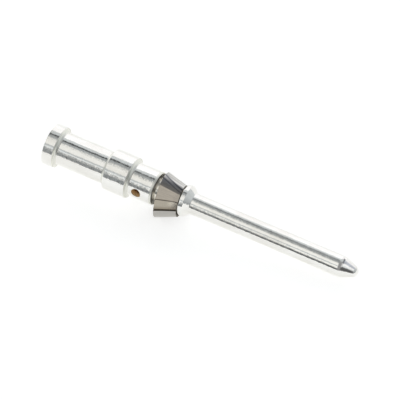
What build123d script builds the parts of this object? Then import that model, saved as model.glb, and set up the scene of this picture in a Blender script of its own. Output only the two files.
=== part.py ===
from build123d import *
import math
import os

# A machined crimp contact, male, with the split conical clip that locks it in its housing.
# It lies along X with the pin pointing to +X. The origin is on the axis, where the straight
# pin leaves the front flange. All lengths are in millimetres, all angles in degrees.

# The pin, with a conical nose that runs into a ball and is blended into the straight pin
pin_radius = 0.80
pin_length = 13.37
nose_radius = 0.46
nose_angle = 21.5
nose_blend = 0.80

# The flange in front of the clip, with its sloping front face
flange_height = 0.30
flange_width = 0.34
flange_slope = 0.42
root_round = 0.07

# The groove that holds the clip
groove_depth = 0.39
groove_width = 2.09

# The neck, the shoulder that stops the contact in its housing, and the crimp barrel
neck_radius = 1.28
neck_length = 2.13
shoulder_height = 0.30
shoulder_width = 1.79
barrel_radius = 1.28
barrel_length = 4.18

# The collar round the wire entry
collar_height = 0.30
collar_width = 0.85

# Inside corners of the steps, and the broken outer edges
cove_radius = 0.24
edge_break = 0.04
neck_break = 0.08
step_land = 0.02

# The wire well, drilled from the rear, and the hole that shows whether the wire has reached its end
well_radius = 0.85
mouth_chamfer = 0.20
drill_point = 118.0
inspection_radius = 0.37
inspection_setback = 0.87
inspection_height_angle = 8.0
well_overrun = 0.05

# The clip: a strip of spring sheet rolled into a cone, whose two ends nearly meet at a split
sheet_thickness = 0.13
sheet_width = 1.66
cone_angle = 18.7
clip_play = 0.195
split_width = 0.11
split_corner = 0.05
split_height_angle = 11.5

# How the loose clip sits in its groove: it has dropped to one side and turned a little
clip_rest_gap = 0.02
clip_front_gap = 0.012
clip_drop_angle = 40.0
clip_turn = 5.5

# Radii of the turned steps
groove_radius = neck_radius - groove_depth
flange_radius = groove_radius + flange_height
shoulder_radius = max(neck_radius, barrel_radius) + shoulder_height
collar_radius = barrel_radius + collar_height

# Places of the faces along the axis, from the pin's root to the wire end
flange_front = -flange_slope
flange_rear = flange_front - flange_width
groove_rear = flange_rear - groove_width
shoulder_front = groove_rear - neck_length
shoulder_rear = shoulder_front - shoulder_width
collar_front = shoulder_rear - barrel_length
rear_end = collar_front - collar_width

# The nose: a ball on the axis, and the cone that is tangent to it and to nothing else
nose_slope = math.radians(nose_angle)
ball_x = pin_length - nose_radius
cone_apex = ball_x + nose_radius / math.sin(nose_slope)
straight_end = cone_apex - pin_radius / math.tan(nose_slope)


def on_ball(angle):
    """A point of the nose ball's outline, at an angle from straight ahead."""
    return (ball_x + nose_radius * math.cos(angle), nose_radius * math.sin(angle))


nose_joint = on_ball(math.pi / 2 - nose_slope)


def corners(sketch, places):
    """The sketch's corners at the given places, for fillets."""
    return [sketch.vertices().sort_by_distance(Vector(*place))[0] for place in places]


def cove(step):
    """The round of an inside corner, which leaves a little flat beside the broken edge."""
    return min(cove_radius, step - edge_break - step_land)


with BuildPart() as contact_body:
    with BuildSketch(Plane.XZ) as turning:
        with BuildLine():
            ThreePointArc((pin_length, 0), on_ball(math.pi / 5), nose_joint)
            Polyline(
                nose_joint,
                (straight_end, pin_radius),
                (0, pin_radius),
                (flange_front, flange_radius),
                (flange_rear, flange_radius),
                (flange_rear, groove_radius),
                (groove_rear, groove_radius),
                (groove_rear, neck_radius),
                (shoulder_front, neck_radius),
                (shoulder_front, shoulder_radius),
                (shoulder_rear, shoulder_radius),
                (shoulder_rear, barrel_radius),
                (collar_front, barrel_radius),
                (collar_front, collar_radius),
                (rear_end, collar_radius),
                (rear_end, 0),
                (pin_length, 0),
            )
        make_face()
        fillet(corners(turning, [(straight_end, pin_radius)]), nose_blend)
        fillet(corners(turning, [(0, pin_radius)]), root_round)
        fillet(
            corners(turning, [(shoulder_front, neck_radius)]),
            cove(shoulder_radius - neck_radius),
        )
        fillet(
            corners(turning, [(shoulder_rear, barrel_radius)]),
            cove(shoulder_radius - barrel_radius),
        )
        fillet(corners(turning, [(collar_front, barrel_radius)]), cove(collar_height))
        chamfer(corners(turning, [(groove_rear, neck_radius)]), neck_break)
        chamfer(
            corners(
                turning,
                [
                    (flange_front, flange_radius),
                    (flange_rear, flange_radius),
                    (shoulder_front, shoulder_radius),
                    (shoulder_rear, shoulder_radius),
                    (collar_front, collar_radius),
                    (rear_end, collar_radius),
                ],
            ),
            edge_break,
        )
    revolve(axis=Axis.X)

    # The inspection hole sets how deep the well goes: its full width ends just past the hole
    inspection_x = shoulder_front + inspection_setback
    well_floor = inspection_x + inspection_radius + well_overrun
    well_tip = well_floor + well_radius / math.tan(math.radians(drill_point / 2))
    with BuildSketch(Plane.XZ):
        with BuildLine():
            Polyline(
                (rear_end, 0),
                (rear_end, well_radius + mouth_chamfer),
                (rear_end + mouth_chamfer, well_radius),
                (well_floor, well_radius),
                (well_tip, 0),
                (rear_end, 0),
            )
        make_face()
    revolve(axis=Axis.X, mode=Mode.SUBTRACT)

    height_angle = math.radians(inspection_height_angle)
    hole_direction = Vector(0, -math.cos(height_angle), math.sin(height_angle))
    with BuildSketch(Plane((inspection_x, 0, 0), x_dir=(1, 0, 0), z_dir=hole_direction)):
        Circle(inspection_radius)
    extrude(amount=neck_radius + shoulder_height, mode=Mode.SUBTRACT)

# The clip's own frame: its front rim's centre, and its axis, turned away from the body's axis
drop_angle = math.radians(clip_drop_angle)
turn_angle = math.radians(clip_turn)
slope = math.radians(cone_angle)
drop = Vector(0, -math.sin(drop_angle), -math.cos(drop_angle))
clip_bore = groove_radius + clip_play
clip_front_radius = clip_bore + sheet_thickness * math.cos(slope)
edge_lead = sheet_thickness * math.sin(slope)
clip_front = flange_rear - clip_front_gap - clip_front_radius * math.sin(turn_angle) - edge_lead
clip_centre = Vector(clip_front, 0, 0) + drop * (clip_play - clip_rest_gap)
clip_axis = Vector(math.cos(turn_angle), math.sin(turn_angle), 0)
clip_side = Vector(0, 0, 1).cross(clip_axis)

with BuildPart() as retention_clip:
    inner_front = Vector(0, clip_bore)
    along_sheet = Vector(-math.cos(slope), math.sin(slope)) * sheet_width
    through_sheet = Vector(math.sin(slope), math.cos(slope)) * sheet_thickness
    with BuildSketch(Plane(clip_centre, x_dir=clip_axis, z_dir=-clip_side)):
        with BuildLine():
            Polyline(
                inner_front,
                inner_front + through_sheet,
                inner_front + through_sheet + along_sheet,
                inner_front + along_sheet,
                inner_front,
            )
        make_face()
    revolve(axis=Axis(clip_centre, clip_axis))

    # The split runs past both rims, out through one side alone
    split_angle = math.radians(split_height_angle)
    split_direction = Vector(0, 0, math.sin(split_angle)) - clip_side * math.cos(split_angle)
    with BuildSketch(Plane(clip_centre, x_dir=clip_axis, z_dir=split_direction)):
        Rectangle(4 * sheet_width, split_width)
    extrude(amount=clip_bore + sheet_width, mode=Mode.SUBTRACT)
    sheet_ends = retention_clip.edges().filter_by(lambda edge: edge.length < 2 * sheet_thickness)
    fillet(sheet_ends, split_corner)

contact_body.part.label = "contact_body"
retention_clip.part.label = "retention_clip"

os.makedirs("parts", exist_ok=True)
export_step(contact_body.part, "parts/contact_body.step")
export_step(retention_clip.part, "parts/retention_clip.step")

print("overall length", round(pin_length - rear_end, 3))
print("straight pin up to", round(straight_end, 3), "before its blend")
print("well from", round(rear_end, 3), "to", round(well_floor, 3))
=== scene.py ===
import math
from collections import namedtuple

import bmesh
import bpy
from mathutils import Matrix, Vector


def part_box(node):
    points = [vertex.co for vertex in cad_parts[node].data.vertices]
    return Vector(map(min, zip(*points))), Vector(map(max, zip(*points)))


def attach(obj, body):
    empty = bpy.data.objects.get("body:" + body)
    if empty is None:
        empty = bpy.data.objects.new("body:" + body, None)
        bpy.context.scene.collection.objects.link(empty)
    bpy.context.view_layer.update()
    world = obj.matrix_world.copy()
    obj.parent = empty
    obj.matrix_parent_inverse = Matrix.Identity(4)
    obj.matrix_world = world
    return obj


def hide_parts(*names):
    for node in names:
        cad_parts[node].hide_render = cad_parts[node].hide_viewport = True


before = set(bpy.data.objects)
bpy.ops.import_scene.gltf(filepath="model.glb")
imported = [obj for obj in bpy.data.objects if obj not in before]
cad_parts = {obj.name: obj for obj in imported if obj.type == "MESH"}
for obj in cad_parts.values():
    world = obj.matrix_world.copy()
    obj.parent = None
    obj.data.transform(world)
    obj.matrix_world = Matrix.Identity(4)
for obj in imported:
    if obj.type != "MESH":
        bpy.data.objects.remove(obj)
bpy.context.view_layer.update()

# A machined crimp contact with its split conical clip. Lengths below are in millimetres in the
# part's own frame, and MM turns them into metres.
MM = 0.001
TINY = 1e-6

# The turned body, as in the source, but with its broken edges rounded and with a longer blend
# between nose and pin
PIN_RADIUS = 0.80
PIN_LENGTH = 13.37
NOSE_RADIUS = 0.46
NOSE_ANGLE = math.radians(21.5)
NOSE_BLEND = 1.00
ROOT_ROUND = 0.07
EDGE_ROUND = 0.045
NECK_BREAK = 0.10
COVE_RADIUS = 0.24
FLANGE_FRONT = -0.42
FLANGE_REAR = -0.76
GROOVE_REAR = -2.85
SHOULDER_FRONT = -4.98
SHOULDER_REAR = -6.77
COLLAR_FRONT = -10.95
REAR_END = -11.80
GROOVE_RADIUS = 0.89
FLANGE_RADIUS = 1.19
NECK_RADIUS = 1.28
SHOULDER_RADIUS = 1.58
WELL_RADIUS = 0.85
MOUTH_CHAMFER = 0.20
WELL_FLOOR = -3.69
DRILL_POINT = math.radians(118.0)

# The inspection hole through the neck's wall
HOLE_X = -4.11
HOLE_RADIUS = 0.37
HOLE_EDGE_ROUND = 0.03
HOLE_HEIGHT_ANGLE = math.radians(8.0)

# The clip, as in the source
SHEET_THICKNESS = 0.13
SHEET_WIDTH = 1.66
CONE_ANGLE = math.radians(18.7)
CLIP_PLAY = 0.195
SPLIT_WIDTH = 0.11
SPLIT_CORNER = 0.05
SPLIT_HEIGHT_ANGLE = math.radians(11.5)
CLIP_REST_GAP = 0.02
CLIP_FRONT_GAP = 0.012
CLIP_DROP_ANGLE = math.radians(40.0)
CLIP_TURN = math.radians(5.5)

# What the real clip has besides: broken edges, a split whose angle grows with each millimetre
# forwards, and two nearly flat faces above the split. They meet at the bend mark, and the upper one
# ends at an angle that changes with each millimetre forwards.
SHEET_EDGE_ROUND = 0.02
SPLIT_SKEW = math.radians(3.6)
FACE_END_ANGLE = math.radians(72.0)
FACE_END_SLANT = math.radians(-3.4)

# Dark lines painted across the sheet, which stand in for reflections of dark surroundings: one along
# the bend and two on the upper face. For each, its angle above the -Y horizon at the front rim, how
# that angle grows with each millimetre forwards, and its half width, all in degrees
PaintedLine = namedtuple("PaintedLine", "angle slant half_width strength colour")
BEND_WITH_PAINTED_LINE = PaintedLine(46.5, 4.6, 2.2, 0.60, (0.17, 0.13, 0.09, 1.0))
UPPER_PAINTED_LINE = PaintedLine(95.5, -11.6, 5.5, 0.92, (0.10, 0.11, 0.13, 1.0))
LOWER_PAINTED_LINE = PaintedLine(82.5, -12.0, 3.0, 0.70, (0.10, 0.11, 0.13, 1.0))

# The clip's own frame: the middle of its front rim, and its axis, turned away from the body's axis
clip_bore = GROOVE_RADIUS + CLIP_PLAY
clip_front_radius = clip_bore + SHEET_THICKNESS * math.cos(CONE_ANGLE)
clip_half_depth = 0.5 * SHEET_WIDTH * math.cos(CONE_ANGLE)
edge_lead = SHEET_THICKNESS * math.sin(CONE_ANGLE)
clip_front = FLANGE_REAR - CLIP_FRONT_GAP - clip_front_radius * math.sin(CLIP_TURN) - edge_lead
clip_drop = Vector((0, -math.sin(CLIP_DROP_ANGLE), -math.cos(CLIP_DROP_ANGLE)))
clip_centre = Vector((clip_front, 0, 0)) + clip_drop * (CLIP_PLAY - CLIP_REST_GAP)
clip_axis = Vector((math.cos(CLIP_TURN), math.sin(CLIP_TURN), 0))

# Mesh density, as columns round the body and round the clip
SEGMENTS = 256
CLIP_COLUMNS = 360


# Small helpers for node trees

def new_node(tree, kind, inputs=None, **settings):
    """A node with its settings, and its inputs set to numbers, colours or other sockets."""
    made = tree.nodes.new(kind)
    for name, value in settings.items():
        setattr(made, name, value)
    for name, value in (inputs or {}).items():
        if isinstance(value, bpy.types.NodeSocket):
            tree.links.new(value, made.inputs[name])
        else:
            made.inputs[name].default_value = value
    return made


def math_node(tree, operation, first, second=0.0):
    inputs = {0: first, 1: second}
    return new_node(tree, "ShaderNodeMath", inputs, operation=operation).outputs[0]


def map_range(tree, value, low, high, to_low, to_high, kind="LINEAR"):
    inputs = {"Value": value, "From Min": low, "From Max": high, "To Min": to_low, "To Max": to_high}
    return new_node(tree, "ShaderNodeMapRange", inputs, interpolation_type=kind).outputs["Result"]


def rise(tree, value, low, high, top=1.0):
    """Grows smoothly from 0 at the low value to the top at the high one."""
    return map_range(tree, value, low, high, 0.0, top, "SMOOTHSTEP")


def fall(tree, value, low, high, top=1.0):
    """Falls smoothly from the top at the low value to 0 at the high one."""
    return map_range(tree, value, low, high, top, 0.0, "SMOOTHSTEP")


def mix_colour(tree, factor, first, second):
    inputs = {0: factor, 6: first, 7: second}
    return new_node(tree, "ShaderNodeMix", inputs, data_type="RGBA").outputs[2]


def noise(tree, vector, scale, detail, roughness):
    inputs = {"Vector": vector, "Scale": scale, "Detail": detail, "Roughness": roughness}
    return new_node(tree, "ShaderNodeTexNoise", inputs).outputs["Fac"]


def bump(tree, height, strength, distance):
    inputs = {"Strength": strength, "Distance": distance, "Height": height}
    return new_node(tree, "ShaderNodeBump", inputs).outputs[0]


def axes_of(tree, vector):
    """A vector's outputs X, Y and Z."""
    return new_node(tree, "ShaderNodeSeparateXYZ", {0: vector}).outputs


def combine(tree, **axes):
    return new_node(tree, "ShaderNodeCombineXYZ", axes).outputs[0]


def part_place(tree):
    """The place on the part, in metres in its own frame."""
    return new_node(tree, "ShaderNodeTexCoord").outputs["Object"]


def metres(*lengths):
    return [length * MM for length in lengths]


def new_material(name):
    material = bpy.data.materials.new(name)
    material.use_nodes = True
    material.node_tree.nodes.clear()
    return material, material.node_tree


def finish_material(tree, colour, metallic, roughness, normal=None):
    inputs = {"Base Color": colour, "Metallic": metallic, "Roughness": roughness}
    if normal is not None:
        inputs["Normal"] = normal
    shader = new_node(tree, "ShaderNodeBsdfPrincipled", inputs).outputs[0]
    new_node(tree, "ShaderNodeOutputMaterial", {"Surface": shader})


# The materials' values. A noise is given by its scale, detail and roughness. A surface's roughness
# is given by its noise's low and high value and by what each of them becomes. A bump is given by its
# strength and its height in metres.

# How much of the wide marks goes into the fine ones, in the plate and in the sheet
WIDE_SHARE = 0.4

# The plate on the body: turning marks, grain and faint stains
PLATE = (0.94, 0.935, 0.92, 1.0)
PLATE_STAIN = (0.83, 0.81, 0.775, 1.0)
FINE_RINGS = (9000.0, 3.0, 0.6)
WIDE_RINGS = (2200.0, 2.0, 0.5)
PLATE_GRAIN = (3000.0, 3.0, 0.6)
GRAIN_SHARE = 0.75
PLATE_STAINS = (900.0, 4.0, 0.6)
STAIN_STRETCH = (0.5, 1.0, 1.0)
STAIN_LEVELS = (0.40, 0.66)
STAIN_SHARE = 0.55
PLATE_ROUGHNESS = (0.3, 0.75, 0.08, 0.15)
PLATE_BUMP = (0.80, 0.000016)

# Where the plate is dull and darker: in the coves, which the tool leaves rougher, and at the front
# edge of the neck. The darker colour there is painted shade. Each place is a step's wall along the
# axis and the side of it that is dull. The reaches from the wall to that side tell where the dullness
# starts and is full, fades and ends.
PLATE_DULL_AND_SHADE = (0.84, 0.84, 0.79, 1.0)
DULL_ROUGHNESS = 0.34
DULL_AND_SHADE_PLACES = [
    (SHOULDER_FRONT, 1.0),
    (SHOULDER_REAR, -1.0),
    (COLLAR_FRONT, 1.0),
    (GROOVE_REAR, -1.0),
]
DULL_AND_SHADE_REACHES = (-0.02, -0.01, 0.8 * COVE_RADIUS, 1.1 * COVE_RADIUS)

# The rear of the clip's groove: where its painted shade and reflection of the clip begin and end, and
# where the painted shadow under the clip begins
GROOVE_PAINTED_SHADE = (0.80, 0.77, 0.70, 1.0)
GROOVE_SHADE_START = (GROOVE_REAR - 0.08, GROOVE_REAR - 0.02)
GROOVE_SHADE_END = (GROOVE_REAR + 0.9, GROOVE_REAR + 1.2)
UNDER_CLIP_SHADOW = (0.04, 0.035, 0.03, 1.0)
UNDER_CLIP_SHADOW_START = (GROOVE_REAR + 0.22, GROOVE_REAR + 0.32)
UNDER_CLIP_SHADOW_SHARE = 0.85

# The brass in the well and in the inspection hole, and its dark rim by distance from the axis
BRASS_LIGHT = (1.0, 0.76, 0.45, 1.0)
BRASS_DARK = (1.0, 0.68, 0.35, 1.0)
BRASS_PATCHES = (1500.0, 4.0, 0.6)
BRASS_LEVELS = (0.35, 0.7)
BRASS_METALLIC = 0.05
BRASS_ROUGHNESS = (0.3, 0.75, 0.32, 0.45)
BRASS_BUMP = (0.15, 0.00001)
BRASS_RIM = (0.28, 0.17, 0.09, 1.0)
BRASS_RIM_START = (NECK_RADIUS - 0.10, NECK_RADIUS - 0.04)
BRASS_RIM_SHARE = 0.45

# The clip's sheet: grey, plain below the split, and brushed with lines that run from rim to rim
SHEET_LIGHT = (0.67, 0.66, 0.65, 1.0)
SHEET_DARK = (0.44, 0.43, 0.42, 1.0)
SHEET_BELOW = (0.49, 0.475, 0.455, 1.0)
FINE_LINES = (20.0, 4.0, 0.7)
WIDE_LINES = (9.0, 2.0, 0.5)
LINE_CHANGE = 60.0
LINE_LEVELS = (0.40, 0.60)
SHEET_ROUGHNESS = (0.3, 0.7, 0.10, 0.15)
SHEET_BUMP = (0.2, 0.00001)

# The sheet's taupe face above the split, which fades out round its end. Under the bend it is darker
# with painted shade, and lighter towards the front rim with painted light; the whole face also has
# painted shade at that rim. Reaches are forwards of that rim, so below 0.
TAUPE_LIGHT = (0.63, 0.572, 0.485, 1.0)
TAUPE_DARK = (0.57, 0.517, 0.438, 1.0)
TAUPE_END = math.radians(72.0)
TAUPE_FADE = (TAUPE_END - 0.1, TAUPE_END + 0.3)
TAUPE_PAINTED_SHADE_UNDER_BEND = (0.43, 0.39, 0.33, 1.0)
BEND_SOFTNESS = math.radians(1.0)
PAINTED_LIGHT_PATCH = (0.88, 0.81, 0.70, 1.0)
LIGHT_PATCH_REACH = (-0.65, -0.10)
LIGHT_PATCH_BELOW_BEND = (math.radians(24.0), math.radians(6.0))
LIGHT_PATCH_SHARE = 0.72
RIM_SHADE = (0.33, 0.30, 0.27, 1.0)
RIM_SHADE_REACH = (-0.40, 0.0)
RIM_SHADE_SHARE = 0.20

# The strip's ends beside the split, darkened with painted shade of the gap, and the painted shadow
# above them
SPLIT_GAP_SHADE = (0.06, 0.045, 0.03, 1.0)
ENDS_WIDTH = math.radians(4.2)
ENDS_CORE = 0.6
ENDS_SHARE = 0.95
SHADOW = (0.20, 0.16, 0.12, 1.0)
SHADOW_WIDTHS = 3.4
SHADOW_SHARE = 0.50

# The sheet's cut edges and its inside: dark, which on the inside is painted shade and on the cut edges
# partly painted shade of the gaps beside them
CUT_DARK = (0.16, 0.145, 0.12, 1.0)
CUT_LIGHT = (0.27, 0.245, 0.20, 1.0)
CUT_GRAIN = (6000.0, 3.0, 0.6)
CUT_METALLIC = 0.8
CUT_ROUGHNESS = 0.5


# Materials

def dull_and_shade_zone(tree, x, wall, side):
    """1 beside a step's wall, on the given side of it as far as its cove reaches, and 0 elsewhere."""
    start, full, fading, end = metres(*(wall + side * reach for reach in DULL_AND_SHADE_REACHES))
    entered = rise(tree, x, start, full)
    left = fall(tree, x, fading, end)
    return math_node(tree, "MULTIPLY", entered, left)


def silver_plate():
    """Bright silver plate over turned metal: fine rings and grain, faint stains, dull coves with
    painted shade, and painted shade and reflection of the clip in its groove.
    """
    material, tree = new_material("silver_plate")
    place = part_place(tree)
    x = axes_of(tree, place)["X"]

    # Turning marks: noise that changes along X alone, so that each mark is a full ring
    ring_place = combine(tree, X=x)
    fine_rings = noise(tree, ring_place, *FINE_RINGS)
    wide_rings = noise(tree, ring_place, *WIDE_RINGS)
    rings = mix_colour(tree, WIDE_SHARE, fine_rings, wide_rings)
    relief = mix_colour(tree, GRAIN_SHARE, rings, noise(tree, place, *PLATE_GRAIN))

    # Stains in the plate, a little longer along the part than across it
    stretch = {"Vector": place, "Scale": STAIN_STRETCH}
    stretched = new_node(tree, "ShaderNodeMapping", stretch).outputs[0]
    stains = noise(tree, stretched, *PLATE_STAINS)
    stain_share = rise(tree, stains, *STAIN_LEVELS, STAIN_SHARE)
    colour = mix_colour(tree, stain_share, PLATE, PLATE_STAIN)

    # The dull places are rougher, and their darker colour is painted shade
    dull_and_shade = dull_and_shade_zone(tree, x, *DULL_AND_SHADE_PLACES[0])
    for wall, side in DULL_AND_SHADE_PLACES[1:]:
        dull_and_shade = math_node(tree, "MAXIMUM", dull_and_shade, dull_and_shade_zone(tree, x, wall, side))
    colour = mix_colour(tree, dull_and_shade, colour, PLATE_DULL_AND_SHADE)

    # The rear of the clip's groove, with painted shade and reflection of the clip, and a painted
    # shadow farther under the clip
    entered = map_range(tree, x, *metres(*GROOVE_SHADE_START), 0.0, 1.0)
    left = map_range(tree, x, *metres(*GROOVE_SHADE_END), 1.0, 0.0)
    clip_shade = math_node(tree, "MULTIPLY", entered, left)
    colour = mix_colour(tree, clip_shade, colour, GROOVE_PAINTED_SHADE)
    under_clip_shadow = math_node(tree, "MULTIPLY", rise(tree, x, *metres(*UNDER_CLIP_SHADOW_START)), left)
    under_clip_shadow = math_node(tree, "MULTIPLY", under_clip_shadow, UNDER_CLIP_SHADOW_SHARE)
    colour = mix_colour(tree, under_clip_shadow, colour, UNDER_CLIP_SHADOW)

    polish = map_range(tree, stains, *PLATE_ROUGHNESS)
    roughness = math_node(tree, "MULTIPLY", dull_and_shade, DULL_ROUGHNESS)
    roughness = math_node(tree, "MAXIMUM", polish, roughness)
    finish_material(tree, colour, 1.0, roughness, bump(tree, relief, *PLATE_BUMP))
    return material


def bare_brass():
    """Tarnished brass, which the plating hardly reaches, and which is darker at the hole's rim."""
    material, tree = new_material("bare_brass")
    place = part_place(tree)
    patches = noise(tree, place, *BRASS_PATCHES)
    colour = mix_colour(tree, rise(tree, patches, *BRASS_LEVELS), BRASS_LIGHT, BRASS_DARK)
    axes = axes_of(tree, place)
    across = combine(tree, Y=axes["Y"], Z=axes["Z"])
    measured = new_node(tree, "ShaderNodeVectorMath", {0: across}, operation="LENGTH")
    radius = measured.outputs["Value"]
    rim = rise(tree, radius, *metres(*BRASS_RIM_START), BRASS_RIM_SHARE)
    colour = mix_colour(tree, rim, colour, BRASS_RIM)
    roughness = map_range(tree, patches, *BRASS_ROUGHNESS)
    normal = bump(tree, patches, *BRASS_BUMP)
    finish_material(tree, colour, BRASS_METALLIC, roughness, normal)
    return material


def less_lean(tree, around, forwards, slant):
    """The angle round the clip, less a slant in radians for each millimetre forwards."""
    lean = math_node(tree, "MULTIPLY", forwards, slant / MM)
    return math_node(tree, "SUBTRACT", around, lean)


def spring_sheet():
    """Spring sheet, brushed from rim to rim, with dark lines painted as reflections, painted shade and
    light on its taupe face, and painted shade and shadow along the split.
    """
    material, tree = new_material("spring_sheet")
    axes = axes_of(tree, part_place(tree))
    x = axes["X"]

    # The place forwards of the front rim, and the angle round the clip's own axis
    forwards = math_node(tree, "SUBTRACT", x, clip_centre.x * MM)
    sideways = math_node(tree, "MULTIPLY", forwards, -math.tan(CLIP_TURN))
    away = math_node(tree, "SUBTRACT", clip_centre.y * MM, axes["Y"])
    away = math_node(tree, "SUBTRACT", away, sideways)
    up = math_node(tree, "SUBTRACT", axes["Z"], clip_centre.z * MM)
    around = math_node(tree, "ARCTAN2", up, away)
    from_middle = math_node(tree, "ADD", forwards, clip_half_depth * MM)
    from_split = less_lean(tree, around, from_middle, SPLIT_SKEW)
    from_split = math_node(tree, "SUBTRACT", from_split, SPLIT_HEIGHT_ANGLE)

    # Brushed lines, which change slowly along the part and fast round the clip
    line_place = combine(tree, X=math_node(tree, "MULTIPLY", x, LINE_CHANGE), Y=around)
    fine_lines = noise(tree, line_place, *FINE_LINES)
    wide_lines = noise(tree, line_place, *WIDE_LINES)
    lines = mix_colour(tree, WIDE_SHARE, fine_lines, wide_lines)
    shade = map_range(tree, lines, *LINE_LEVELS, 0.0, 1.0)
    colour = mix_colour(tree, shade, SHEET_LIGHT, SHEET_DARK)
    below = math_node(tree, "LESS_THAN", from_split, 0.0)
    colour = mix_colour(tree, below, colour, SHEET_BELOW)

    # The taupe face, with painted shade under the bend, painted light there towards the front rim, and
    # painted shade at the rim
    taupe = mix_colour(tree, shade, TAUPE_LIGHT, TAUPE_DARK)
    bend = math.radians(BEND_WITH_PAINTED_LINE.angle)
    from_bend = less_lean(tree, around, forwards, math.radians(BEND_WITH_PAINTED_LINE.slant))
    light_patch = rise(tree, forwards, *metres(*LIGHT_PATCH_REACH), LIGHT_PATCH_SHARE)
    near_bend = rise(tree, from_bend, *(bend - angle for angle in LIGHT_PATCH_BELOW_BEND))
    light_patch = math_node(tree, "MULTIPLY", light_patch, near_bend)
    painted_under_bend = mix_colour(tree, light_patch, TAUPE_PAINTED_SHADE_UNDER_BEND, PAINTED_LIGHT_PATCH)
    under = map_range(tree, from_bend, bend - BEND_SOFTNESS, bend + BEND_SOFTNESS, 1.0, 0.0)
    taupe = mix_colour(tree, under, taupe, painted_under_bend)
    at_rim = rise(tree, forwards, *metres(*RIM_SHADE_REACH), RIM_SHADE_SHARE)
    taupe = mix_colour(tree, at_rim, taupe, RIM_SHADE)
    face = fall(tree, from_split, *TAUPE_FADE)
    face = math_node(tree, "MULTIPLY", face, math_node(tree, "SUBTRACT", 1.0, below))
    colour = mix_colour(tree, face, colour, taupe)

    # Dark lines painted as reflections of dark surroundings: along the bend and on the upper face
    for painted_line in (BEND_WITH_PAINTED_LINE, UPPER_PAINTED_LINE, LOWER_PAINTED_LINE):
        from_painted_line = less_lean(tree, around, forwards, math.radians(painted_line.slant))
        from_painted_line = math_node(tree, "SUBTRACT", from_painted_line, math.radians(painted_line.angle))
        beside = math_node(tree, "ABSOLUTE", from_painted_line)
        share = fall(tree, beside, 0.0, math.radians(painted_line.half_width), painted_line.strength)
        colour = mix_colour(tree, share, colour, painted_line.colour)

    # The painted shadow above the split, and the painted shade of the gap at the strip's ends
    close = math_node(tree, "ABSOLUTE", from_split)
    shadow = fall(tree, close, ENDS_WIDTH, SHADOW_WIDTHS * ENDS_WIDTH, SHADOW_SHARE)
    above = math_node(tree, "GREATER_THAN", from_split, 0.0)
    colour = mix_colour(tree, math_node(tree, "MULTIPLY", shadow, above), colour, SHADOW)
    ends = fall(tree, close, ENDS_CORE * ENDS_WIDTH, ENDS_WIDTH, ENDS_SHARE)
    colour = mix_colour(tree, ends, colour, SPLIT_GAP_SHADE)

    roughness = map_range(tree, lines, *SHEET_ROUGHNESS)
    finish_material(tree, colour, 1.0, roughness, bump(tree, lines, *SHEET_BUMP))
    return material


def cut_edges_and_shaded_inside():
    """The sheet's cut edges and its inside, hardly polished and dark: on the inside that is painted
    shade, and on the cut edges partly painted shade of the gaps.
    """
    material, tree = new_material("cut_edges_and_shaded_inside")
    grain = noise(tree, part_place(tree), *CUT_GRAIN)
    colour = mix_colour(tree, grain, CUT_DARK, CUT_LIGHT)
    finish_material(tree, colour, CUT_METALLIC, CUT_ROUGHNESS)
    return material


# The turned body's profile, from the pin's tip to the bottom of the wire well. A profile is a list
# of runs, and a run is a list of (x, radius) points. Where two runs meet at an angle there is an edge.

NOSE_STEPS = 20
ROUND_STEPS = 6

# How far a supporting ring is from its run's end, and at most what share of the run that may be
SUPPORT_REACH = 0.02
SUPPORT_SHARE = 0.1


def arc(centre, radius, start, end, steps):
    """Points round a centre, from one angle to another."""
    return [
        (
            centre[0] + radius * math.cos(start + (end - start) * i / steps),
            centre[1] + radius * math.sin(start + (end - start) * i / steps),
        )
        for i in range(steps + 1)
    ]


def supported(start, end):
    """A straight run, with a ring close to each end so that its shading stays flat between them."""
    length = math.dist(start, end)
    near = min(SUPPORT_REACH, SUPPORT_SHARE * length) / length
    return [
        (start[0] + (end[0] - start[0]) * t, start[1] + (end[1] - start[1]) * t)
        for t in (0.0, near, 1.0 - near, 1.0)
    ]


def rounded_runs(corners):
    """Straight runs through the corners (x, radius, round), with an arc at each rounded one."""
    runs = []
    here = Vector(corners[0][:2])
    for before, (x, radius, size), after in zip(corners, corners[1:], corners[2:]):
        corner = Vector((x, radius))
        if size == 0:
            runs.append(supported(here, corner))
            here = corner
            continue
        back = (Vector(before[:2]) - corner).normalized()
        forth = (Vector(after[:2]) - corner).normalized()
        half = math.acos(max(-1.0, min(1.0, back.dot(forth)))) / 2
        reach = size / math.tan(half)
        first, last = corner + back * reach, corner + forth * reach
        middle = corner + (back + forth).normalized() * (size / math.sin(half))
        start = math.atan2(first.y - middle.y, first.x - middle.x)
        turn = math.atan2(last.y - middle.y, last.x - middle.x) - start
        turn = (turn + math.pi) % (2 * math.pi) - math.pi
        runs.append(supported(here, first))
        runs.append(arc(middle, size, start, start + turn, ROUND_STEPS))
        here = last
    runs.append(supported(here, Vector(corners[-1][:2])))
    return runs


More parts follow.
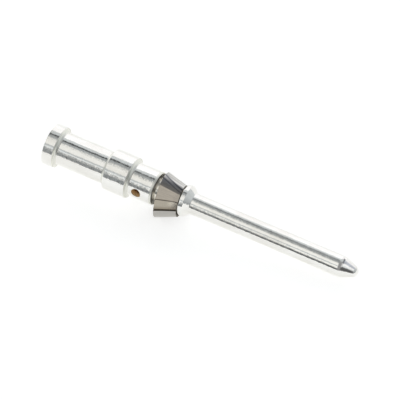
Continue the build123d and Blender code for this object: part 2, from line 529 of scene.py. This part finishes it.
def outside_runs():
    """From the tip, over the nose's ball and cone and all the steps, to the well's mouth."""
    ball_x = PIN_LENGTH - NOSE_RADIUS
    ball = arc((ball_x, 0), NOSE_RADIUS, 0, math.pi / 2 - NOSE_ANGLE, NOSE_STEPS)
    cone_apex = ball_x + NOSE_RADIUS / math.sin(NOSE_ANGLE)
    straight_end = cone_apex - PIN_RADIUS / math.tan(NOSE_ANGLE)
    corners = [
        (*ball[-1], 0),
        (straight_end, PIN_RADIUS, NOSE_BLEND),
        (0, PIN_RADIUS, ROOT_ROUND),
        (FLANGE_FRONT, FLANGE_RADIUS, EDGE_ROUND),
        (FLANGE_REAR, FLANGE_RADIUS, EDGE_ROUND),
        (FLANGE_REAR, GROOVE_RADIUS, 0),
        (GROOVE_REAR, GROOVE_RADIUS, 0),
        (GROOVE_REAR, NECK_RADIUS, NECK_BREAK),
        (SHOULDER_FRONT, NECK_RADIUS, COVE_RADIUS),
        (SHOULDER_FRONT, SHOULDER_RADIUS, EDGE_ROUND),
        (SHOULDER_REAR, SHOULDER_RADIUS, EDGE_ROUND),
        (SHOULDER_REAR, NECK_RADIUS, COVE_RADIUS),
        (COLLAR_FRONT, NECK_RADIUS, COVE_RADIUS),
        (COLLAR_FRONT, SHOULDER_RADIUS, EDGE_ROUND),
        (REAR_END, SHOULDER_RADIUS, EDGE_ROUND),
        (REAR_END, WELL_RADIUS + MOUTH_CHAMFER, 0),
        (REAR_END + MOUTH_CHAMFER, WELL_RADIUS, 0),
    ]
    return [ball] + rounded_runs(corners)


def well_runs():
    """From the well's mouth to the tip of its drill point."""
    well_tip = WELL_FLOOR + WELL_RADIUS / math.tan(DRILL_POINT / 2)
    return [
        supported((REAR_END + MOUTH_CHAMFER, WELL_RADIUS), (WELL_FLOOR, WELL_RADIUS)),
        supported((WELL_FLOOR, WELL_RADIUS), (well_tip, 0)),
    ]


# The body's mesh

# The hole's own directions: out through the wall, and the way that angles round the body grow
hole_out = Vector((0, -math.cos(HOLE_HEIGHT_ANGLE), math.sin(HOLE_HEIGHT_ANGLE)))
hole_round = Vector((1, 0, 0)).cross(hole_out)

# Windows that the turned wall leaves for the inspection hole's own mesh, outside and in the well:
# front and rear ends along X, the wall's radius, columns on each side of the hole, and steps along
# X. Each window's border has as many points as the hole.
Window = namedtuple("Window", "front rear radius columns steps")
OUTER_WINDOW = Window(HOLE_X + 0.50, HOLE_X - 0.50, NECK_RADIUS, 16, 32)
INNER_WINDOW = Window(WELL_FLOOR - 0.005, HOLE_X - 0.47, WELL_RADIUS, 26, 12)
HOLE_POINTS = 128
HOLE_RINGS = 6
HOLE_ROUND_STEPS = 4

# Material indices of the body
PLATED, BARE = 0, 1

# A run has an edge at its start if it turns there by more than this, straight runs and arcs
STRAIGHT_EDGE = math.radians(2.0)
ARC_EDGE = math.radians(8.0)


def on_body(x, radius, angle):
    """A point in metres, at an angle round the body measured from the inspection hole."""
    side = hole_out * math.cos(angle) + hole_round * math.sin(angle)
    return (Vector((x, 0, 0)) + side * radius) * MM


def new_ring(mesh, x, radius):
    """A ring of vertices round the body, or a single one on its axis."""
    if radius < TINY:
        return [mesh.verts.new(Vector((x, 0, 0)) * MM)]
    return [
        mesh.verts.new(on_body(x, radius, 2 * math.pi * k / SEGMENTS)) for k in range(SEGMENTS)
    ]


def new_face(mesh, corners, material):
    face = mesh.faces.new(corners)
    face.material_index = material
    face.smooth = True


def mark_edge(mesh, ring):
    """Makes the edges along a closed ring sharp."""
    for first, second in zip(ring, ring[1:] + ring[:1]):
        mesh.edges.get((first, second)).smooth = False


def join_turned(mesh, first, second, material, skipped):
    """Faces between two rings, less the skipped columns on each side of the inspection hole."""
    for k in range(SEGMENTS):
        following = (k + 1) % SEGMENTS
        column = (k + SEGMENTS // 2) % SEGMENTS - SEGMENTS // 2
        if -skipped <= column < skipped:
            continue
        corners = [
            first[k % len(first)],
            second[k % len(second)],
            second[following % len(second)],
            first[following % len(first)],
        ]
        corners = [c for i, c in enumerate(corners) if c not in corners[:i]]
        new_face(mesh, corners, material)


def join_rings(mesh, first, second, material):
    """Quads between two closed rings of vertices that go the same way round."""
    count = len(first)
    for k in range(count):
        following = (k + 1) % count
        corners = (first[k], first[following], second[following], second[k])
        new_face(mesh, corners, material)


def holds(run, window):
    """Whether a straight run along the window's wall has the window between its ends."""
    flat = all(abs(radius - window.radius) < TINY for _, radius in (run[0], run[-1]))
    low, high = sorted((run[0][0], run[-1][0]))
    return flat and low < window.rear and high > window.front


def with_window(run, window):
    """The run's points, with evenly spaced ones across the window."""
    length = window.front - window.rear
    across = [
        (window.rear + length * i / window.steps, window.radius)
        for i in range(window.steps + 1)
    ]
    outside = [point for point in run if not window.rear < point[0] < window.front]
    return sorted(outside + across, reverse=run[0][0] > run[-1][0])


def window_border(rings, columns):
    """The vertices round a window, from the middle of its front side, out of its rings."""
    first, last = 0, len(rings) - 1
    front = [rings[first][k % SEGMENTS] for k in range(0, columns + 1)]
    side = [rings[i][columns] for i in range(1, last)]
    rear = [rings[last][k % SEGMENTS] for k in range(columns, -columns - 1, -1)]
    other = [rings[i][-columns % SEGMENTS] for i in range(last - 1, 0, -1)]
    close = [rings[first][k % SEGMENTS] for k in range(-columns, 0)]
    return front + side + rear + other + close


def slope_of(first, second):
    return math.atan2(second[1] - first[1], second[0] - first[0])


def turn_wall(mesh, runs, window, material, ring, slope):
    """Turns the runs into faces, on from a ring and the slope at which it was reached. Returns the
    last ring, the slope there, and the vertices round the window."""
    border = None
    for run in runs:
        least = STRAIGHT_EDGE if len(run) == 4 else ARC_EDGE
        bend = abs(math.remainder(slope_of(run[0], run[1]) - slope, 2 * math.pi))
        slope = slope_of(run[-2], run[-1])
        windowed = holds(run, window)
        points = with_window(run, window) if windowed else run
        window_rings = []
        for index, (x, radius) in enumerate(points[1:]):
            following = new_ring(mesh, x, radius)
            skipped = 0
            if windowed and window.rear - TINY <= x <= window.front + TINY:
                skipped = window.columns if window_rings else 0
                window_rings.append(following)
            join_turned(mesh, ring, following, material, skipped)
            if bend > least and index == 0:
                mark_edge(mesh, ring)
            ring = following
        if windowed:
            if points[0][0] < points[-1][0]:
                window_rings.reverse()
            border = window_border(window_rings, window.columns)
    return ring, slope, border


def hole_rim(mesh, window, border, size, material):
    """Joins a window's border to the hole's rim of the given size, and returns the rim."""
    places = []
    for vertex in border:
        point = vertex.co / MM
        places.append((point.x, math.atan2(point.dot(hole_round), point.dot(hole_out))))
    rim_places = []
    for k in range(HOLE_POINTS):
        turn = 2 * math.pi * k / HOLE_POINTS
        angle = math.asin(size * math.sin(turn) / window.radius)
        rim_places.append((HOLE_X + size * math.cos(turn), angle))
    ring = border
    for step in range(1, HOLE_RINGS + 1):
        t = step / HOLE_RINGS
        following = []
        for (x, angle), (rim_x, rim_angle) in zip(places, rim_places):
            place = on_body(x + (rim_x - x) * t, window.radius, angle + (rim_angle - angle) * t)
            following.append(mesh.verts.new(place))
        join_rings(mesh, ring, following, material)
        ring = following
    return ring


def fill_hole(mesh, outer_border, inner_border):
    """The inspection hole: from each window's border to the rim, and through the wall."""
    outer_size = HOLE_RADIUS + HOLE_EDGE_ROUND
    ring = hole_rim(mesh, OUTER_WINDOW, outer_border, outer_size, PLATED)
    inner_rim = hole_rim(mesh, INNER_WINDOW, inner_border, HOLE_RADIUS, BARE)
    for step in range(1, HOLE_ROUND_STEPS + 1):
        beta = math.pi / 2 * step / HOLE_ROUND_STEPS
        size = HOLE_RADIUS + HOLE_EDGE_ROUND * (1 - math.sin(beta))
        sink = HOLE_EDGE_ROUND * (1 - math.cos(beta))
        following = []
        for k in range(HOLE_POINTS):
            turn = 2 * math.pi * k / HOLE_POINTS
            across = size * math.sin(turn)
            height = math.sqrt(NECK_RADIUS**2 - across**2) - sink
            point = Vector((HOLE_X + size * math.cos(turn), 0, 0))
            following.append(mesh.verts.new((point + hole_out * height + hole_round * across) * MM))
        join_rings(mesh, ring, following, PLATED)
        ring = following
    join_rings(mesh, ring, inner_rim, BARE)
    mark_edge(mesh, inner_rim)


def finish_mesh(mesh, name, materials):
    """Puts the mesh into the scene as a piece with its materials."""
    data = bpy.data.meshes.new(name)
    mesh.to_mesh(data)
    mesh.free()
    for material in materials:
        data.materials.append(material)
    piece = bpy.data.objects.new(name, data)
    bpy.context.scene.collection.objects.link(piece)
    return piece


def make_body():
    """The turned body, from its tip over the outside into the well, with the inspection hole."""
    mesh = bmesh.new()
    runs = outside_runs()
    tip = new_ring(mesh, *runs[0][0])
    slope = slope_of(runs[0][0], runs[0][1])
    ring, slope, outer_border = turn_wall(mesh, runs, OUTER_WINDOW, PLATED, tip, slope)
    _, _, inner_border = turn_wall(mesh, well_runs(), INNER_WINDOW, BARE, ring, slope)
    fill_hole(mesh, outer_border, inner_border)
    bmesh.ops.recalc_face_normals(mesh, faces=mesh.faces)
    return finish_mesh(mesh, "contact_body_turned", [silver_plate(), bare_brass()])


# The clip, as it sits loose in the groove

CORNER_STEPS = 8
MIDDLE_ROWS = 12
SHARP_EDGE = math.radians(50)
SHEET_EDGE_STEPS = 3


def flatten(around, reach):
    """The sheet's radius as a share of the cone's: it is flat from the split to the bend mark, and
    from there to the end of the upper face. The reach is 0 at the front rim and falls backwards."""
    edges = (
        SPLIT_HEIGHT_ANGLE + SPLIT_SKEW * (reach + clip_half_depth),
        math.radians(BEND_WITH_PAINTED_LINE.angle + BEND_WITH_PAINTED_LINE.slant * reach),
        FACE_END_ANGLE + FACE_END_SLANT * reach,
    )
    for low, high in zip(edges, edges[1:]):
        if low < around < high:
            return math.cos((high - low) / 2) / math.cos(around - (high + low) / 2)
    return 1.0


def sheet_rows():
    """Rows from the front rim to the rear one: how far along the sheet each one is, and how much
    wider the split is there on each side. They are close at the rims, where it has round corners."""
    corner = []
    for step in range(CORNER_STEPS + 1):
        beta = math.pi / 2 * step / CORNER_STEPS
        corner.append((SPLIT_CORNER * (1 - math.cos(beta)), SPLIT_CORNER * (1 - math.sin(beta))))
    straight = SHEET_WIDTH - 2 * SPLIT_CORNER
    middle = [(SPLIT_CORNER + straight * i / MIDDLE_ROWS, 0.0) for i in range(1, MIDDLE_ROWS)]
    return corner + middle + [(SHEET_WIDTH - along, wider) for along, wider in reversed(corner)]


def sheet_layer(mesh, rows, layer):
    """A grid of vertices over the sheet, at a height above its inner face."""
    side = Vector((0, 0, 1)).cross(clip_axis)
    split = Vector((0, 0, math.sin(SPLIT_HEIGHT_ANGLE))) - side * math.cos(SPLIT_HEIGHT_ANGLE)
    square = clip_axis.cross(split)
    grid = []
    for along, wider in rows:
        reach = layer * math.sin(CONE_ANGLE) - along * math.cos(CONE_ANGLE)
        radius = clip_bore + layer * math.cos(CONE_ANGLE) + along * math.sin(CONE_ANGLE)
        end = math.pi - math.asin((SPLIT_WIDTH / 2 + wider) / radius)
        lean = SPLIT_SKEW * (reach + clip_half_depth)
        row = []
        for column in range(CLIP_COLUMNS + 1):
            angle = end * (2 * column / CLIP_COLUMNS - 1) + lean
            out = square * math.sin(angle) - split * math.cos(angle)
            share = flatten(math.atan2(out.z, -out.dot(side)), reach)
            place = clip_centre + clip_axis * reach + out * (radius * share)
            row.append(mesh.verts.new(place * MM))
        grid.append(row)
    return grid


def make_clip():
    """The strip as a closed sheet: its two faces, its rims and its ends, with broken edges."""
    mesh = bmesh.new()
    rows = sheet_rows()
    outer = sheet_layer(mesh, rows, SHEET_THICKNESS)
    inner = sheet_layer(mesh, rows, 0.0)
    last_row, last_column = len(rows) - 1, CLIP_COLUMNS
    for grid in (outer, inner):
        for i in range(last_row):
            for j in range(last_column):
                mesh.faces.new((grid[i][j], grid[i][j + 1], grid[i + 1][j + 1], grid[i + 1][j]))
    for i in (0, last_row):
        for j in range(last_column):
            mesh.faces.new((outer[i][j], outer[i][j + 1], inner[i][j + 1], inner[i][j]))
    for j in (0, last_column):
        for i in range(last_row):
            mesh.faces.new((outer[i][j], outer[i + 1][j], inner[i + 1][j], inner[i][j]))

    # The outer face has the first material, and the rest the second
    outer_vertices = set(sum(outer, []))
    for face in mesh.faces:
        face.material_index = 0 if outer_vertices.issuperset(face.verts) else 1
    bmesh.ops.recalc_face_normals(mesh, faces=mesh.faces)
    bmesh.ops.bevel(
        mesh,
        geom=[edge for edge in mesh.edges if edge.calc_face_angle(0.0) > SHARP_EDGE],
        offset=SHEET_EDGE_ROUND * MM,
        offset_type="OFFSET",
        segments=SHEET_EDGE_STEPS,
        profile=0.5,
        affect="EDGES",
        clamp_overlap=True,
    )
    for face in mesh.faces:
        face.smooth = True
    return finish_mesh(mesh, "retention_clip_rolled", [spring_sheet(), cut_edges_and_shaded_inside()])


# The floor, whose size is in metres, and where the part touches it along X. It glows for the camera
# and in reflections, and lies in the part's shadow besides.

FLOOR_SIZE = 3.0
CLIP_TOUCH_X = -2.45
NOSE_TOUCH_X = 12.1
WHITE = (1.0, 1.0, 1.0, 1.0)
FLOOR_COLOUR = (0.8, 0.8, 0.8, 1.0)
FLOOR_GLOW = 0.6
FLOOR_GLOSSY_GLOW = 0.52
FLOOR_GLOSSY_COLOUR = (1.0, 1.0, 0.96, 1.0)


def make_floor():
    """A pale floor under the part, which lies on the clip's wide rim and on its nose."""
    clip_low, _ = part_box("retention_clip")
    clip_touch = Vector((CLIP_TOUCH_X * MM, 0, clip_low.z))
    nose_touch = Vector((NOSE_TOUCH_X, 0, -PIN_RADIUS)) * MM
    along = (nose_touch - clip_touch).normalized()
    across = Vector((0, 1, 0))
    corners = [
        clip_touch + along * FLOOR_SIZE * a + across * FLOOR_SIZE * b
        for a, b in ((-1, -1), (1, -1), (1, 1), (-1, 1))
    ]
    data = bpy.data.meshes.new("studio_floor")
    data.from_pydata([corner[:] for corner in corners], [], [(0, 1, 2, 3)])
    floor = bpy.data.objects.new("studio_floor", data)
    bpy.context.scene.collection.objects.link(floor)

    material, tree = new_material("studio_floor")
    path = new_node(tree, "ShaderNodeLightPath").outputs
    glossy = path["Is Glossy Ray"]
    straight = math_node(tree, "ADD", path["Is Camera Ray"], path["Is Transmission Ray"])
    straight = math_node(tree, "MULTIPLY", straight, FLOOR_GLOW)
    mirrored = math_node(tree, "MULTIPLY", glossy, FLOOR_GLOSSY_GLOW)
    strength = math_node(tree, "ADD", straight, mirrored)
    lit = new_node(tree, "ShaderNodeBsdfDiffuse", {"Color": FLOOR_COLOUR}).outputs[0]
    glow_colour = mix_colour(tree, glossy, WHITE, FLOOR_GLOSSY_COLOUR)
    glow_inputs = {"Color": glow_colour, "Strength": strength}
    glow = new_node(tree, "ShaderNodeEmission", glow_inputs).outputs[0]
    mixed = new_node(tree, "ShaderNodeAddShader", {0: lit, 1: glow}).outputs[0]
    new_node(tree, "ShaderNodeOutputMaterial", {"Surface": mixed})
    data.materials.append(material)


# The studio round the part. Each band runs between two angles about X above the -Y horizon, in
# degrees, and has a level of light and a tint.

PLAIN = (1.0, 1.0, 1.0)
WARM = (1.0, 0.995, 0.95)
COOL = (0.95, 1.0, 1.01)
BLUISH = (0.90, 0.95, 1.05)
BARREL_STUDIO = [
    (-180, -6, 0.90, WARM),
    (-4, 29, 0.34, COOL),
    (32, 38, 0.77, COOL),
    (41, 45, 0.46, COOL),
    (49, 84, 0.87, WARM),
    (89, 101, 0.42, COOL),
    (102.5, 110, 0.0, PLAIN),
    (112, 127, 0.60, COOL),
    (132, 180, 1.10, PLAIN),
]
PIN_STUDIO = [
    (-180, -6, 0.90, WARM),
    (-4, 17, 0.10, COOL),
    (22, 37, 0.98, WARM),
    (41, 46, 0.58, COOL),
    (50, 70, 0.93, WARM),
    (80, 108, 0.30, COOL),
    (114, 126, 0.70, COOL),
    (132, 180, 1.10, PLAIN),
]
GAP_STUDIO = [
    (-180, -20, 0.90, PLAIN),
    (-5, 95, 0.30, PLAIN),
    (110, 128, 0.58, COOL),
    (140, 180, 0.95, PLAIN),
]
CLIP_STUDIO = [
    (-180, 4, 0.80, PLAIN),
    (11, 40, 0.12, PLAIN),
    (54, 86, 0.66, PLAIN),
    (100, 144, 0.20, BLUISH),
    (163, 180, 1.10, PLAIN),
]
NOSE_STUDIO = [
    (-180, -160, 0.68, COOL),
    (-140, -20, 0.90, WARM),
    (2, 50, 0.09, PLAIN),
    (60, 72, 0.80, COOL),
    (78, 96, 1.05, PLAIN),
    (106, 136, 0.60, BLUISH),
    (145, 165, 0.95, PLAIN),
    (174, 180, 0.70, COOL),
]
END_STUDIO = [
    (-180, -166, 0.68, COOL),
    (-142, -48, 0.92, PLAIN),
    (-6, 14, 0.31, COOL),
    (50, 70, 0.46, COOL),
    (112, 138, 0.58, COOL),
    (165, 180, 0.65, COOL),
]

# The zones of the studio from its rear end to its front end: each takes over from the one before
# as a direction's measure goes from the first value to the second. The measure is the direction's X
# or, in the slanted zones, its lead: that is X and a bit more away from the middle of the sky.
STUDIO = [
    (-0.288, -0.268, PIN_STUDIO, False),
    (-0.19, -0.12, GAP_STUDIO, False),
    (0.22, 0.30, CLIP_STUDIO, True),
    (0.448, 0.460, NOSE_STUDIO, True),
    (0.52, 0.62, END_STUDIO, False),
]

# Where the lead begins to grow above and below the middle of the sky, where that growth is full,
# and how much it is there
LEAD_ABOVE = (math.radians(60), math.radians(157), 0.28)
LEAD_BELOW = (math.radians(40), math.radians(-5), 0.055)


def ramp(tree, position, bands):
    """The bands' light at a position from 0 to 1, with a blend between each band and the next."""
    made = new_node(tree, "ShaderNodeValToRGB", {"Fac": position})
    stops = [
        (angle, [level * share for share in tint])
        for low, high, level, tint in bands
        for angle in (low, high)
    ]
    elements = made.color_ramp.elements
    while len(elements) < len(stops):
        elements.new(0.5)
    for element, (angle, light) in zip(elements, stops):
        element.position = (angle + 180) / 360
        element.color = (*light, 1.0)
    return made.outputs["Color"]


def make_world():
    """White for the camera, and the studio's zones for everything that reflects them."""
    world = bpy.data.worlds.new("studio")
    world.use_nodes = True
    tree = world.node_tree
    tree.nodes.clear()
    axes = axes_of(tree, new_node(tree, "ShaderNodeTexCoord").outputs["Generated"])
    away = math_node(tree, "MULTIPLY", axes["Y"], -1.0)
    angle = math_node(tree, "ARCTAN2", axes["Z"], away)
    position = map_range(tree, angle, -math.pi, math.pi, 0.0, 1.0)
    lead = axes["X"]
    for near, far, growth in (LEAD_ABOVE, LEAD_BELOW):
        share = map_range(tree, angle, near, far, 0.0, 1.0)
        share = math_node(tree, "MULTIPLY", share, share)
        lead = math_node(tree, "ADD", lead, math_node(tree, "MULTIPLY", share, growth))
    studio = ramp(tree, position, BARREL_STUDIO)
    for start, end, bands, slanted in STUDIO:
        forward = rise(tree, lead if slanted else axes["X"], start, end)
        studio = mix_colour(tree, forward, studio, ramp(tree, position, bands))
    seen = new_node(tree, "ShaderNodeLightPath").outputs["Is Camera Ray"]
    colour = mix_colour(tree, seen, studio, WHITE)
    light = new_node(tree, "ShaderNodeBackground", {"Color": colour, "Strength": 1.0})
    new_node(tree, "ShaderNodeOutputWorld", {"Surface": light.outputs[0]})
    bpy.context.scene.world = world


# The camera: where it stands from the point that it aims at, and how wide its picture is there

CAMERA_AZIMUTH = math.radians(27.7)
CAMERA_ELEVATION = math.radians(53.6)
CAMERA_LENS = 400.0
CAMERA_SENSOR = 36.0
FRAME_WIDTH = 29.09
AIM = Vector((0.350, 0.360, 0.234))


def make_camera():
    """A long lens, which looks down on the part from the side of its pin and of the hole."""
    data = bpy.data.cameras.new("camera")
    data.type = "PERSP"
    data.lens = CAMERA_LENS
    data.sensor_width = CAMERA_SENSOR
    camera = bpy.data.objects.new("camera", data)
    bpy.context.scene.collection.objects.link(camera)
    back = Vector(
        (
            math.sin(CAMERA_AZIMUTH) * math.cos(CAMERA_ELEVATION),
            -math.cos(CAMERA_AZIMUTH) * math.cos(CAMERA_ELEVATION),
            math.sin(CAMERA_ELEVATION),
        )
    )
    distance = FRAME_WIDTH * CAMERA_LENS / CAMERA_SENSOR
    camera.location = (AIM + back * distance) * MM
    camera.rotation_mode = "QUATERNION"
    camera.rotation_quaternion = (-back).to_track_quat("-Z", "Y")
    bpy.context.scene.camera = camera


make_camera()
make_world()
make_floor()
bpy.context.scene.view_settings.view_transform = "Standard"

body = make_body()
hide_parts("contact_body")
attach(body, "root")

clip = make_clip()
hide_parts("retention_clip")
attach(clip, "root")
